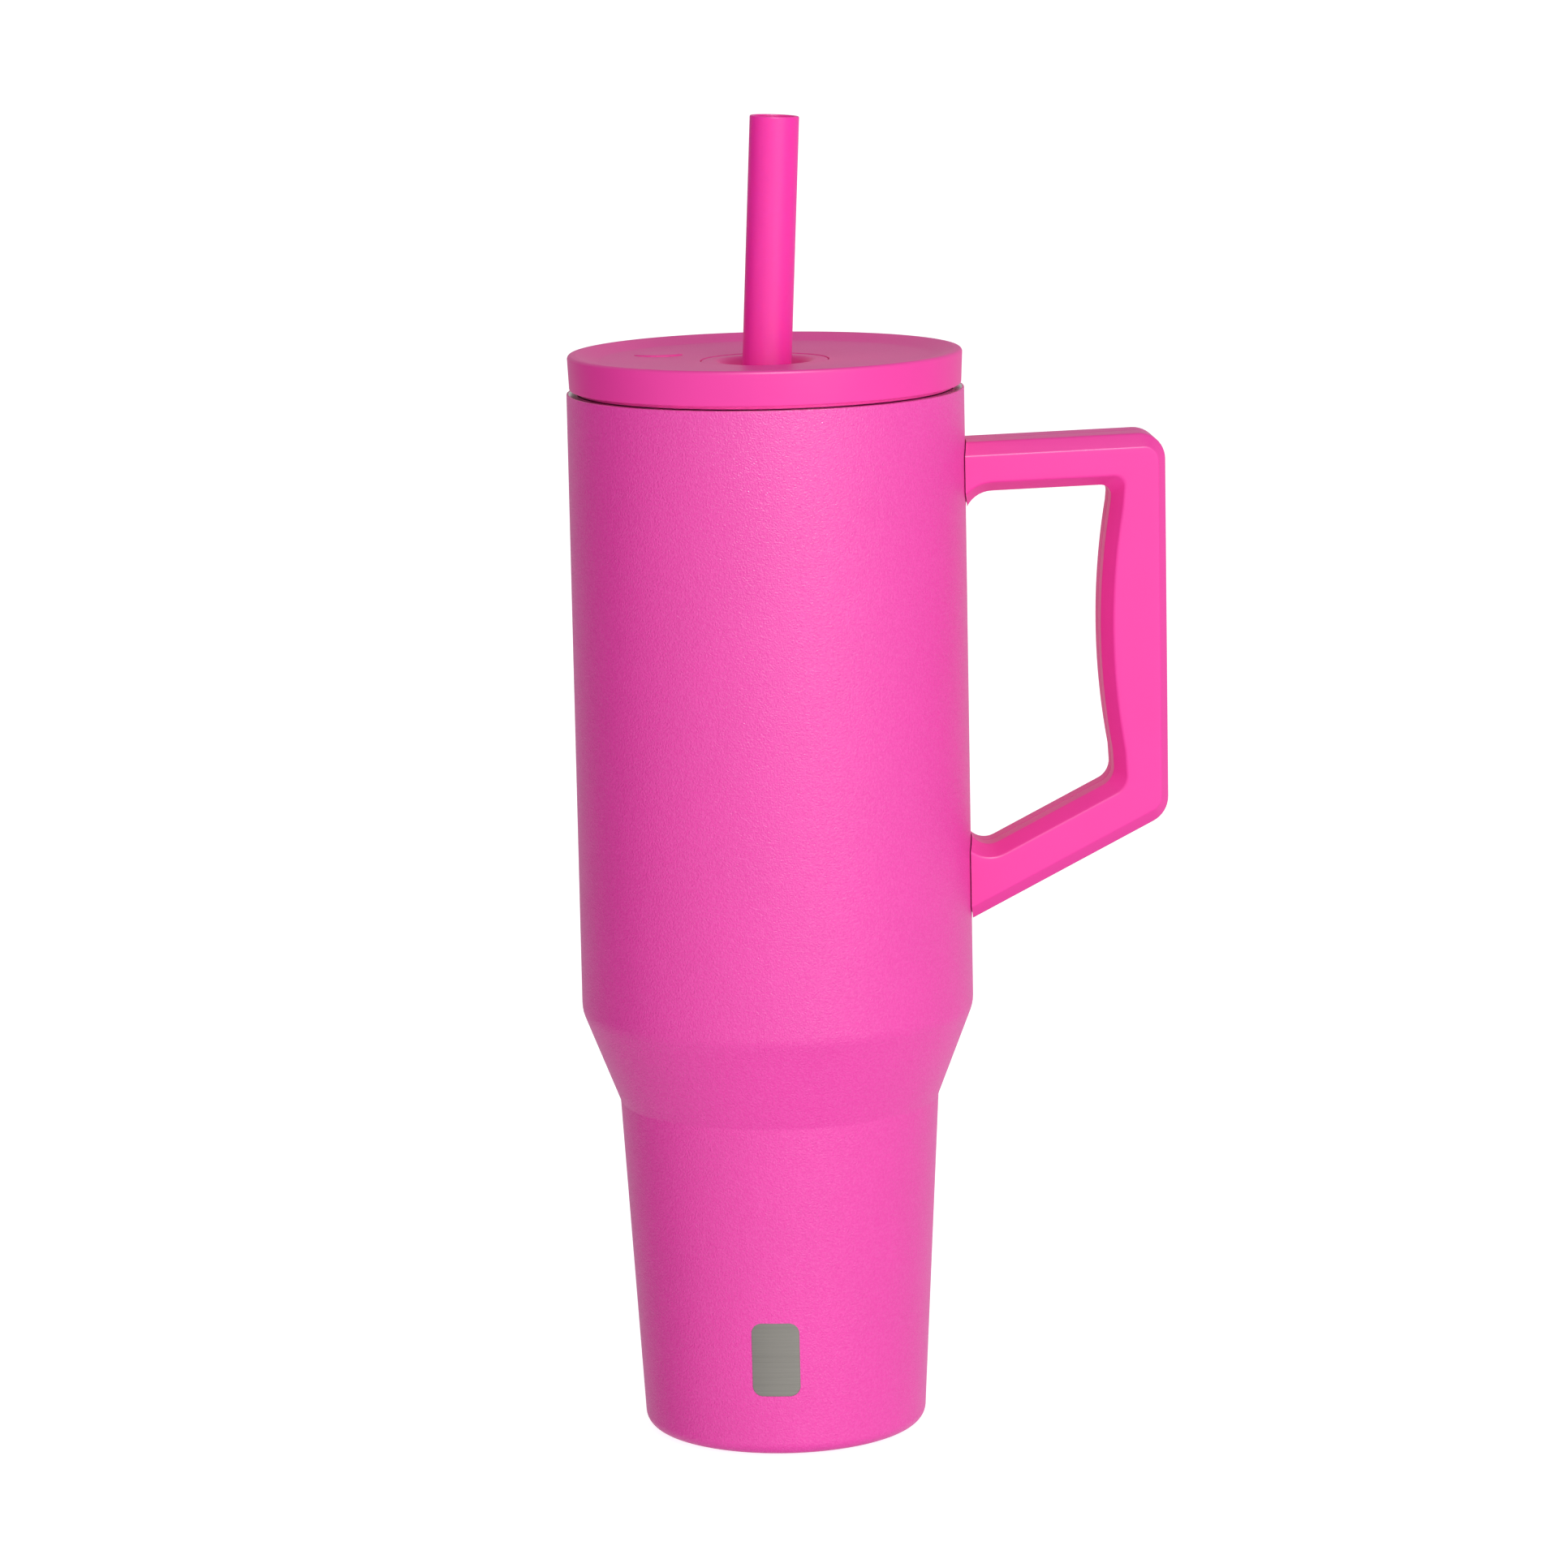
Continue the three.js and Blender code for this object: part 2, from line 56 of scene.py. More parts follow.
# ---- Places taken from the frame, in millimetres ----

def top_of(node):
    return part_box(node)[1].z / MM


def bottom_of(node):
    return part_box(node)[0].z / MM


def radius_of(node):
    return (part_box(node)[1].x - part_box(node)[0].x) / 2 / MM


JOINTS = {joint["name"]: joint for joint in frame["joints"]}
PIVOT = Vector(JOINTS["straw_tilt"]["pos_m"])
STRAW_AXIS = Vector(JOINTS["straw_slide"]["axis"]).normalized()

# ---- Vessel sizes ----

SHEET = 0.6
VACUUM = 3.5
BARREL_R = radius_of("outer_wall")
STEEL_Z = bottom_of("outer_wall")
CONE_TOP_Z = 107.5
CONE_BOTTOM_Z = 84.3
CONE_BOTTOM_R = 39.8
FOOT_R = 35.1
SHOULDER_ROUND = 8.7
WAIST_ROUND = 2.0
BASE_ROUND = 3.6
BASE_OPENING_R = 30.3
LIP_TOP_Z = top_of("inner_wall")
LIP_R = BARREL_R - 0.1
LIP_INNER_R = 45.6
NECK_Z = 255.0
FLOOR_Z = bottom_of("inner_wall") + SHEET
FLOOR_ROUND = 7.0

# ---- Mesh tools ----

ROUND = 192
ROUND_FINE = 384
ROUND_SMALL = 96
ROUND_SCREW = 64
ARC_STEP = radians(9)
SHARP = radians(32)

# Small roundings that many edges share
TIGHT_ROUND = 0.2
EDGE_ROUND = 0.3


def rounded(corners, closed=True, steps=None):
    """Outline whose corners (x, y, radius) become tangent arcs. A corner with no radius stays sharp."""
    points = []
    for i, corner in enumerate(corners):
        at = Vector(corner[:2])
        radius = corner[2] if len(corner) > 2 else 0
        if not radius or (not closed and i in (0, len(corners) - 1)):
            points.append(at)
            continue
        back = (Vector(corners[i - 1][:2]) - at).normalized()
        on = (Vector(corners[(i + 1) % len(corners)][:2]) - at).normalized()
        half = acos(max(-1.0, min(1.0, back.dot(on)))) / 2
        turn = (pi - 2 * half) * (1 if on.x * back.y - on.y * back.x > 0 else -1)
        centre = at + (back + on).normalized() * (radius / sin(half))
        first = at + back * (radius / tan(half)) - centre
        count = steps or max(2, ceil(abs(turn) / ARC_STEP))
        for k in range(count + 1):
            a = turn * k / count
            points.append(centre + Vector((first.x * cos(a) - first.y * sin(a),
                                           first.x * sin(a) + first.y * cos(a))))
    return points


def shifted(corners, distance, closed=False):
    """Corners moved to the left of the outline's direction. Rounded corners keep their centres."""
    last = len(corners) - 1

    def left_of(i):
        a, b = corners[i], corners[(i + 1) % len(corners)]
        return Vector((a[1] - b[1], b[0] - a[0])).normalized()

    moved = []
    for i, corner in enumerate(corners):
        before = left_of(i - 1 if closed or i > 0 else 0)
        after = left_of(i if closed or i < last else last - 1)
        total = before + after
        step = total * (2 * distance / total.length_squared)
        bend = before.x * after.y - before.y * after.x
        radius = corner[2] if len(corner) > 2 else 0
        if radius:
            radius = max(radius - distance * (1 if bend > 0 else -1), 0.05)
        moved.append((corner[0] + step.x, corner[1] + step.y, radius))
    return moved


def new_piece(name, vertices, faces):
    mesh = bpy.data.meshes.new(name)
    mesh.from_pydata([Vector(v) * MM for v in vertices], [], faces)
    mesh.validate()
    piece = bpy.data.objects.new(name, mesh)
    SCENE.collection.objects.link(piece)
    return piece


def smooth(piece):
    """Smooth shading with crisp edges where the surface turns by more than SHARP."""
    mesh = piece.data
    mesh.shade_smooth()
    mesh.set_sharp_from_angle(angle=SHARP)
    mesh.update()


def revolved(name, outline, sides=ROUND):
    """Solid of revolution about Z. Points on the axis become one vertex each."""
    rings, vertices = [], []
    for point in outline:
        if abs(point.x) < 1e-6:
            rings.append([len(vertices)] * sides)
            vertices.append((0, 0, point.y))
        else:
            rings.append(list(range(len(vertices), len(vertices) + sides)))
            vertices += [(point.x * cos(2 * pi * k / sides), point.x * sin(2 * pi * k / sides), point.y)
                         for k in range(sides)]
    faces = []
    for i, low in enumerate(rings):
        high = rings[(i + 1) % len(rings)]
        for k in range(sides):
            n = (k + 1) % sides
            loop = [low[k], low[n], high[n], high[k]]
            face = [v for j, v in enumerate(loop) if v != loop[j - 1]]
            if len(face) > 2:
                faces.append(face)
    return new_piece(name, vertices, faces)


def boolean(piece, tool, operation="DIFFERENCE"):
    """Cuts or joins with another mesh, and leaves the result in the piece's own mesh."""
    modifier = piece.modifiers.new("cut", "BOOLEAN")
    modifier.operation = operation
    modifier.solver = "MANIFOLD"
    modifier.object = tool
    evaluated = piece.evaluated_get(bpy.context.evaluated_depsgraph_get())
    result = bpy.data.meshes.new_from_object(evaluated)
    piece.modifiers.clear()
    old, piece.data = piece.data, result
    bpy.data.meshes.remove(old)
    bpy.data.objects.remove(tool)
    return piece


def leaning(piece):
    """Moves a piece made upright about the origin onto the straw's leaning axis, through the pivot."""
    turn = Vector((0, 0, 1)).rotation_difference(STRAW_AXIS).to_matrix().to_4x4()
    piece.data.transform(Matrix.Translation(PIVOT) @ turn)
    return piece


# ---- Materials ----

PINK_COAT = (0.845, 0.047, 0.397, 1)
PINK_PLASTIC = (0.88, 0.052, 0.375, 1)
PINK_STRAW = (0.97, 0.026, 0.395, 1)
PINK_SILICONE = (0.62, 0.022, 0.170, 1)
STEEL = (0.50, 0.485, 0.46, 1)
ETCHED_STEEL = (0.255, 0.243, 0.222, 1)
SCREW_STEEL = (0.42, 0.41, 0.40, 1)
COAT_SPECK = (0.93, 0.125, 0.52, 1)
GETTER_DARK = (0.05, 0.045, 0.04, 1)
GETTER_PALE = (0.16, 0.14, 0.13, 1)
LEVEL_GRAIN = (40, 40, 7000)
SCREW_GRAIN = (3000, 60, 3000)
STRAW_GRAIN = (1500, 1500, 30)


class Nodes:
    """Short ways to add and join shader nodes."""

    def __init__(self, name):
        self.material = bpy.data.materials.new(name)
        self.material.use_nodes = True
        self.tree = self.material.node_tree
        self.tree.nodes.clear()
        self.output = self.add("ShaderNodeOutputMaterial")
        self.place = self.add("ShaderNodeTexCoord").outputs["Object"]

    def add(self, kind, **settings):
        node = self.tree.nodes.new(kind)
        for key, value in settings.items():
            setattr(node, key, value)
        return node

    def link(self, source, target):
        self.tree.links.new(source, target)

    def feed(self, socket, value):
        """Joins an output to a socket, or sets the socket to a plain value."""
        if isinstance(value, bpy.types.NodeSocket):
            self.link(value, socket)
        else:
            socket.default_value = value

    def times(self, value, share):
        node = self.add("ShaderNodeMath", operation="MULTIPLY")
        self.link(value, node.inputs[0])
        node.inputs[1].default_value = share
        return node.outputs[0]

    def stretched(self, scale):
        node = self.add("ShaderNodeMapping")
        self.link(self.place, node.inputs["Vector"])
        node.inputs["Scale"].default_value = scale
        return node.outputs[0]

    def noise(self, scale, detail=2.0, place=None, rough=0.5):
        node = self.add("ShaderNodeTexNoise")
        self.link(place or self.place, node.inputs["Vector"])
        node.inputs["Scale"].default_value = scale
        node.inputs["Detail"].default_value = detail
        node.inputs["Roughness"].default_value = rough
        return node.outputs["Fac"]

    def ranged(self, value, low, high, from_low=0.3, from_high=0.7):
        node = self.add("ShaderNodeMapRange")
        self.link(value, node.inputs["Value"])
        for key, number in (("From Min", from_low), ("From Max", from_high),
                            ("To Min", low), ("To Max", high)):
            node.inputs[key].default_value = number
        return node.outputs["Result"]

    def mixed(self, factor, a, b):
        node = self.add("ShaderNodeMix", data_type="RGBA")
        self.feed(node.inputs["Factor"], factor)
        self.feed(node.inputs["A"], a)
        self.feed(node.inputs["B"], b)
        return node.outputs["Result"]

    def bump(self, height, depth, strength, normal=None):
        node = self.add("ShaderNodeBump")
        self.link(height, node.inputs["Height"])
        node.inputs["Distance"].default_value = depth
        node.inputs["Strength"].default_value = strength
        if normal:
            self.link(normal, node.inputs["Normal"])
        return node.outputs["Normal"]

    def principled(self, colour, roughness, normal=None, **constants):
        node = self.add("ShaderNodeBsdfPrincipled")
        self.feed(node.inputs["Base Color"], colour)
        self.feed(node.inputs["Roughness"], roughness)
        if normal:
            self.link(normal, node.inputs["Normal"])
        for key, value in constants.items():
            node.inputs[key.replace("_", " ")].default_value = value
        return node.outputs[0]

    def finish(self, shader):
        self.link(shader, self.output.inputs["Surface"])
        return self.material


def darker(colour, share):
    return (colour[0] * share, colour[1] * share, colour[2] * share, 1)


def powder_coat():
    """Satin powder coat: orange-peel grain with finer grit on it, and a barely uneven tone."""
    n = Nodes("powder_coat")
    peel = n.noise(2400, 1.0)
    grit = n.noise(3600, 2.0, rough=0.6)
    normal = n.bump(peel, 0.0002, 0.9)
    normal = n.bump(grit, 0.00007, 0.7, normal)
    tone = n.ranged(n.noise(45, 3.0), 0.0, 1.0)
    speck = n.ranged(n.noise(1700, 1.0, rough=0.7), 0.0, 1.0, 0.40, 0.64)
    colour = n.mixed(tone, darker(PINK_COAT, 0.96), PINK_COAT)
    colour = n.mixed(n.times(speck, 0.26), colour, COAT_SPECK)
    return n.finish(n.principled(colour, n.ranged(grit, 0.32, 0.50), normal))


def steel_shader(n, grain, roughness, colour):
    """Brushed stainless steel. grain is the scale along X, Y and Z: small along the brush lines."""
    lines = n.noise(1.0, 3.0, n.stretched(grain), 0.6)
    normal = n.bump(lines, 0.00001, 0.35)
    tone = n.mixed(n.ranged(lines, 0.0, 1.0), darker(colour, 0.86), colour)
    return n.principled(tone, n.ranged(lines, *roughness), normal, Metallic=1.0)


def moulded_plastic():
    """Satin moulded plastic: a fine even texture from the mould and a faint sheen change."""
    n = Nodes("moulded_plastic")
    texture = n.noise(5200, 2.0, rough=0.55)
    normal = n.bump(texture, 0.000012, 0.5)
    flow = n.ranged(n.noise(60, 3.0), 0.0, 1.0)
    colour = n.mixed(flow, darker(PINK_PLASTIC, 0.97), PINK_PLASTIC)
    return n.finish(n.principled(colour, n.ranged(texture, 0.38, 0.48), normal, Specular_IOR_Level=0.22))


def straw_plastic():
    """Smooth extruded plastic with faint lines along its length."""
    n = Nodes("straw_plastic")
    lines = n.noise(1.0, 2.0, n.stretched(STRAW_GRAIN))
    normal = n.bump(lines, 0.0000015, 0.5)
    colour = n.mixed(n.ranged(n.noise(90, 2.0), 0.0, 1.0), darker(PINK_STRAW, 0.97), PINK_STRAW)
    return n.finish(n.principled(colour, n.ranged(lines, 0.42, 0.50), normal, Specular_IOR_Level=0.3,
                                 Subsurface_Weight=0.2, Subsurface_Scale=0.002))


def silicone():
    """Matte silicone with fine dust-like speckle."""
    n = Nodes("silicone")
    fine = n.noise(3600, 3.0)
    normal = n.bump(fine, 0.00002, 0.4)
    colour = n.mixed(n.ranged(fine, 0.0, 1.0), darker(PINK_SILICONE, 0.92), PINK_SILICONE)
    return n.finish(n.principled(colour, n.ranged(fine, 0.62, 0.74), normal))


def bare_steel():
    """Brushed round the vessel: the lines run level, so the grain is fine along Z."""
    n = Nodes("bare_steel")
    return n.finish(steel_shader(n, LEVEL_GRAIN, (0.18, 0.32), STEEL))


def etched_steel():
    """The same level brush lines, duller where the coat was etched away."""
    n = Nodes("etched_steel")
    return n.finish(steel_shader(n, LEVEL_GRAIN, (0.26, 0.40), ETCHED_STEEL))


def screw_steel():
    n = Nodes("screw_steel")
    return n.finish(steel_shader(n, SCREW_GRAIN, (0.3, 0.45), SCREW_STEEL))


def getter_metal():
    n = Nodes("getter_metal")
    grains = n.noise(2500, 4.0)
    colour = n.mixed(n.ranged(grains, 0.0, 1.0), GETTER_DARK, GETTER_PALE)
    return n.finish(n.principled(colour, 0.85, n.bump(grains, 0.0001, 0.6), Metallic=0.4))


MATERIALS = {
    "powder_coat": powder_coat(),
    "moulded_plastic": moulded_plastic(),
    "straw_plastic": straw_plastic(),
    "silicone": silicone(),
    "bare_steel": bare_steel(),
    "etched_steel": etched_steel(),
    "screw_steel": screw_steel(),
    "getter_metal": getter_metal(),
}


def finished(piece, body, slot, *nodes, material=None):
    """Gives a piece its material (the one named by material, else by slot), smooth shading and its body, and
    hides the CAD nodes that it stands for.
    """
    piece.data.materials.clear()
    piece.data.materials.append(MATERIALS[material or slot])
    smooth(piece)
    if nodes:
        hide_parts(*nodes)
    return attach(piece, body)


# ---- Vessel ----

COAT_EDGE = 0.22
LIP_EDGE_R = LIP_R - 0.35
LIP_OUTER_ROUND = 0.06
LIP_INNER_ROUND = 0.55
NECK_OUTER_ROUND = 4.0
NECK_INNER_ROUND = 5.0


def vessel_side(top_z, top_round=0.0):
    """Outside of the vessel from the bottom edge up, as corners (radius, height, rounding)."""
    return [
        (FOOT_R, STEEL_Z, BASE_ROUND),
        (CONE_BOTTOM_R, CONE_BOTTOM_Z, WAIST_ROUND),
        (BARREL_R, CONE_TOP_Z, SHOULDER_ROUND),
        (BARREL_R, top_z, top_round),
    ]


# Bare panel low on the front, where the coat is etched away down to the steel
PANEL_Z = 25.4
PANEL_HALF = (5.9, 9.4)
PANEL_TURN = radians(-7.3)
PANEL_CORNER = 2.6
PANEL_REACH = (20, 60)
PANEL_GAP = 0.02
COAT_DEPTH = 0.12
PANEL_THICK = 0.3
RING_HALF_H = 15
RING_PROUD = 1.0


def foot_radius(z):
    return FOOT_R + (CONE_BOTTOM_R - FOOT_R) * (z - STEEL_Z) / (CONE_BOTTOM_Z - STEEL_Z)


def panel_prism(grow):
    """Upright rounded rectangle run through the foot's front wall along Y."""
    x, z = PANEL_HALF[0] + grow, PANEL_HALF[1] + grow
    corners = [(-x, PANEL_Z - z), (x, PANEL_Z - z), (x, PANEL_Z + z), (-x, PANEL_Z + z)]
    outline = rounded([(*corner, PANEL_CORNER + grow) for corner in corners])
    prism = lofted("panel_prism", [(outline, y) for y in PANEL_REACH], -1)
    prism.data.transform(Matrix.Rotation(PANEL_TURN, 4, "Z"))
    return prism


def foot_ring(inner, outer):
    """Thin ring that follows the foot's wall between two depths below its surface."""
    low, high = PANEL_Z - RING_HALF_H, PANEL_Z + RING_HALF_H
    outline = [Vector((foot_radius(z) - depth, z)) for z, depth in
               ((low, inner), (low, outer), (high, outer), (high, inner))]
    return revolved("foot_ring", outline, ROUND_FINE)


def make_outer_wall():
    outside = [(BASE_OPENING_R, STEEL_Z, COAT_EDGE), *vessel_side(LIP_TOP_Z, COAT_EDGE)]
    first, *middle, last = shifted(outside, SHEET)
    inside = [(*first[:2], COAT_EDGE), *middle, (*last[:2], COAT_EDGE)]
    wall = revolved("outer_wall_fine", rounded([*outside, *reversed(inside)]))
    window = boolean(foot_ring(COAT_DEPTH + PANEL_THICK, -RING_PROUD), panel_prism(PANEL_GAP), "INTERSECT")
    finished(boolean(wall, window), "vessel", "powder_coat", "outer_wall")
    panel = boolean(foot_ring(COAT_DEPTH + PANEL_THICK - PANEL_GAP, COAT_DEPTH), panel_prism(0), "INTERSECT")
    panel.name = "etched_panel"
    finished(panel, "vessel", "bare_steel", material="etched_steel")


def make_inner_wall():
    def follow(depth):
        return shifted(vessel_side(NECK_Z), depth)[1:]

    floor_r = foot_radius(FLOOR_Z)
    out, into = SHEET + VACUUM, 2 * SHEET + VACUUM
    outline = rounded([
        (0, FLOOR_Z - SHEET),
        (floor_r - out, FLOOR_Z - SHEET, FLOOR_ROUND),
        *follow(out)[:-1],
        (*follow(out)[-1][:2], NECK_OUTER_ROUND),
        (LIP_EDGE_R - SHEET, LIP_TOP_Z - 1.0, TIGHT_ROUND),
        (LIP_EDGE_R, LIP_TOP_Z - 0.15),
        (LIP_EDGE_R, LIP_TOP_Z, LIP_OUTER_ROUND),
        (LIP_INNER_R, LIP_TOP_Z, LIP_INNER_ROUND),
        (*follow(into)[-1][:2], NECK_INNER_ROUND),
        *reversed(follow(into)[:-1]),
        (floor_r - into, FLOOR_Z, FLOOR_ROUND - SHEET),
        (0, FLOOR_Z),
    ])
    finished(revolved("liner_fine", outline), "vessel", "bare_steel", "inner_wall")


OUTER_BASE_Z = 2.2
OUTER_BASE_R = radius_of("outer_base")
DIMPLE_R = 8.0
DIMPLE_RISE = 1.8
HOLE_R = 1.2
PAD_R = radius_of("base_pad")
PAD_H = top_of("base_pad")
PAD_GROOVES = (8.0, 14.0, 20.0, 26.0)
GROOVE_W = 1.2
GROOVE_DEEP = 0.4


def make_base():
    under = [
        (OUTER_BASE_R - SHEET, STEEL_Z, 0),
        (OUTER_BASE_R - SHEET, OUTER_BASE_Z, EDGE_ROUND),
        (DIMPLE_R, OUTER_BASE_Z, 1.0),
        (DIMPLE_R - DIMPLE_RISE, OUTER_BASE_Z + DIMPLE_RISE, 1.0),
        (HOLE_R, OUTER_BASE_Z + DIMPLE_RISE, 0),
    ]
    disc = rounded([*shifted(under, -SHEET), *reversed(under)])
    finished(revolved("outer_base_fine", disc), "vessel", "bare_steel", "outer_base")

    face = []
    for r in PAD_GROOVES:
        face += [(r, 0, 0.1), (r + 0.3, GROOVE_DEEP, 0.1), (r + GROOVE_W - 0.3, GROOVE_DEEP, 0.1),
                 (r + GROOVE_W, 0, 0.1)]
    pad = rounded([(0, 0), *face, (PAD_R, 0, 0.7), (PAD_R, PAD_H, TIGHT_ROUND), (0, PAD_H)])
    finished(revolved("base_pad_fine", pad), "vessel", "silicone", "base_pad")


# ---- Handle ----

HANDLE_HALF = -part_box("handle_front_shell")[0].y / MM
GRIP_OUTER_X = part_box("handle_front_shell")[1].x / MM
GRIP_INNER_X = 84.6
GRIP_SWELL = 3.1
SWELL_STEPS = 28
EDGE_STEPS = 6
OUTER_EDGE = {"inset": 3.2, "depth": 3.2, "side_round": 1.6, "face_round": 0.8}
INNER_EDGE = {"inset": 2.7, "depth": 4.6, "side_round": 0.8, "face_round": 0.9}
GRIP_SIDE_SHARE = 0.68
FACE_INSET = 5.0
HOLLOW_DEPTH = HANDLE_HALF - 3.3
HANDLE_WALL = 2.6
PARTING = 0.04
PARTING_ROUND = 0.22
SEAT_GAP = 0.28
ARM_ROOT_X = 36.0
FLARE_X = 48.0
FLARE_LENGTH = 12.0
UPPER_ARM = {"top": 247.8, "under": 235.3, "slope": 0.025, "flare": 7.0}
LOWER_ARM = {"top": 144.5, "under": 128.9, "slope": 0.508, "flare": 5.0}
OUTER_TOP_ROUND = 6.5
OUTER_BOTTOM_ROUND = 7.0
INNER_TOP_ROUND = 2.5
INNER_BOTTOM_ROUND = 5.0
BOSS_R = 3.5
SCREW_R = 1.5
SCREW_HEAD_R = 2.7
SCREW_HEAD_H = 1.8
RECESS_R = SCREW_HEAD_R + 0.3
TONGUE_HALF = 1.5
BARREL_TOOL_Z = (90, 258)


def arm_z(arm, edge, x):
    return arm[edge] + arm["slope"] * (x - BARREL_R)


def handle_corners():
    """Outline in X and Z, open towards the barrel, anticlockwise seen from the front."""
    high = arm_z(UPPER_ARM, "under", GRIP_INNER_X) - INNER_TOP_ROUND
    low = arm_z(LOWER_ARM, "top", GRIP_INNER_X) + INNER_BOTTOM_ROUND
    swell = []
    for i in range(1, SWELL_STEPS):
        t = 1 - 2 * i / SWELL_STEPS
        swell.append((GRIP_INNER_X - GRIP_SWELL * (1 - t * t), (high + low) / 2 + t * (high - low) / 2))
    upper_z = UPPER_ARM["under"] - FLARE_LENGTH
    lower_z = LOWER_ARM["top"] + FLARE_LENGTH
    return [
        (ARM_ROOT_X, arm_z(LOWER_ARM, "under", ARM_ROOT_X)),
        (GRIP_OUTER_X, arm_z(LOWER_ARM, "under", GRIP_OUTER_X), OUTER_BOTTOM_ROUND),
        (GRIP_OUTER_X, arm_z(UPPER_ARM, "top", GRIP_OUTER_X), OUTER_TOP_ROUND),
        (ARM_ROOT_X, arm_z(UPPER_ARM, "top", ARM_ROOT_X)),
        (ARM_ROOT_X, upper_z),
        (FLARE_X, upper_z),
        (FLARE_X, arm_z(UPPER_ARM, "under", FLARE_X), UPPER_ARM["flare"]),
        (GRIP_INNER_X, arm_z(UPPER_ARM, "under", GRIP_INNER_X), INNER_TOP_ROUND),
        *swell,
        (GRIP_INNER_X, arm_z(LOWER_ARM, "top", GRIP_INNER_X), INNER_BOTTOM_ROUND),
        (FLARE_X, arm_z(LOWER_ARM, "top", FLARE_X), LOWER_ARM["flare"]),
        (FLARE_X, lower_z),
        (ARM_ROOT_X, lower_z),
    ]


def lofted(name, rings, side):
    """Solid through rings of equal length: points in X and Z, with a distance from Y = 0.

    A ring's distance is one number for all of its points, or a list with one for each.
    """
    count = len(rings[0][0])
    vertices = []
    for outline, away in rings:
        distances = away if isinstance(away, list) else [away] * count
        vertices += [(p.x, side * distance, p.y) for p, distance in zip(outline, distances)]
    faces = []
    for i in range(len(rings) - 1):
        for k in range(count):
            n = (k + 1) % count
            faces.append([i * count + k, i * count + n, (i + 1) * count + n, (i + 1) * count + k])
    faces.append(list(reversed(range(count))))
    faces.append(list(range((len(rings) - 1) * count, len(rings) * count)))
    if side > 0:
        faces = [list(reversed(face)) for face in faces]
    return new_piece(name, vertices, faces)


def rod(name, radius, low_y, high_y, spot):
    """Round rod along Y."""
    outline = [Vector((0, low_y)), Vector((radius, low_y)), Vector((radius, high_y)), Vector((0, high_y))]
    piece = revolved(name, outline, ROUND_SCREW)
    piece.data.transform(Matrix.Rotation(-pi / 2, 4, "X"))
    piece.data.transform(Matrix.Translation(Vector((spot[0], 0, spot[1])) * MM))
    return piece


def screw_spots():
    """Middle of each screw in X and Z, from the CAD screws, in millimetres."""
    spots = []
    for i in range(1, 5):
        low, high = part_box(f"handle_screw_{i}")
        spots.append(((low.x + high.x) / 2 / MM, (low.z + high.z) / 2 / MM))
    return spots


def barrel_tool():
    r = BARREL_R + SEAT_GAP
    low, high = BARREL_TOOL_Z
    outline = [Vector((0, low)), Vector((r, low)), Vector((r, high)), Vector((0, high))]
    return revolved("barrel_tool", outline, ROUND_FINE)


def handle_ring(corners, inset):
    """Outline drawn in by an inset, less on the grip's outer side. The opening keeps its tight corners."""
    ring = shifted(corners, inset, closed=True)
    for i, (x, _, *radius) in enumerate(corners):
        if x == GRIP_INNER_X:
            ring[i] = (*ring[i][:2], *radius)
        elif x == GRIP_OUTER_X:
            slope = (LOWER_ARM if i == 1 else UPPER_ARM)["slope"]
            out = inset * (1 - GRIP_SIDE_SHARE)
            ring[i] = (ring[i][0] + out, ring[i][1] + slope * out, ring[i][2])
    return rounded(ring)


def edge_section(edge):
    """From the parting plane over the chamfered edge to the face: inset and distance from Y = 0."""
    return rounded([
        (HANDLE_WALL + 0.4, PARTING),
        (0, PARTING, PARTING_ROUND),
        (0, HANDLE_HALF - edge["depth"], edge["side_round"]),
        (edge["inset"], HANDLE_HALF, edge["face_round"]),
        (FACE_INSET, HANDLE_HALF),
    ], closed=False, steps=EDGE_STEPS)


def make_handle_shell(name, side, node):
    corners = handle_corners()
    outer_count = len(rounded(corners[:4], closed=False))
    rings = []
    for outer, inner in zip(edge_section(OUTER_EDGE), edge_section(INNER_EDGE)):
        outline = handle_ring(corners, outer.x)[:outer_count] + handle_ring(corners, inner.x)[outer_count:]
        distances = [outer.y] * outer_count + [inner.y] * (len(outline) - outer_count)
        rings.append((outline, distances))
    shell = lofted(name, rings, side)
    hollow = rounded(shifted(corners, HANDLE_WALL, closed=True))
    shell = boolean(shell, lofted("hollow", [(hollow, -1.0), (hollow, HOLLOW_DEPTH)], side))
    for spot in screw_spots():
        span = sorted((side * (TONGUE_HALF + 0.3), side * (HOLLOW_DEPTH + 0.3)))
        shell = boolean(shell, rod("boss", BOSS_R, *span, spot), "UNION")
    shell = boolean(shell, barrel_tool())
    head_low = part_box("handle_screw_1")[1].y / MM - SCREW_HEAD_H
    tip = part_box("handle_screw_1")[0].y / MM
    for spot in screw_spots():
        shell = boolean(shell, rod("shank_hole", SCREW_R + 0.2, tip - 0.2, head_low + 0.1, spot))
        if side > 0:
            shell = boolean(shell, rod("recess", RECESS_R, head_low, HANDLE_HALF + 1, spot))
    return finished(shell, "vessel", "moulded_plastic", node)


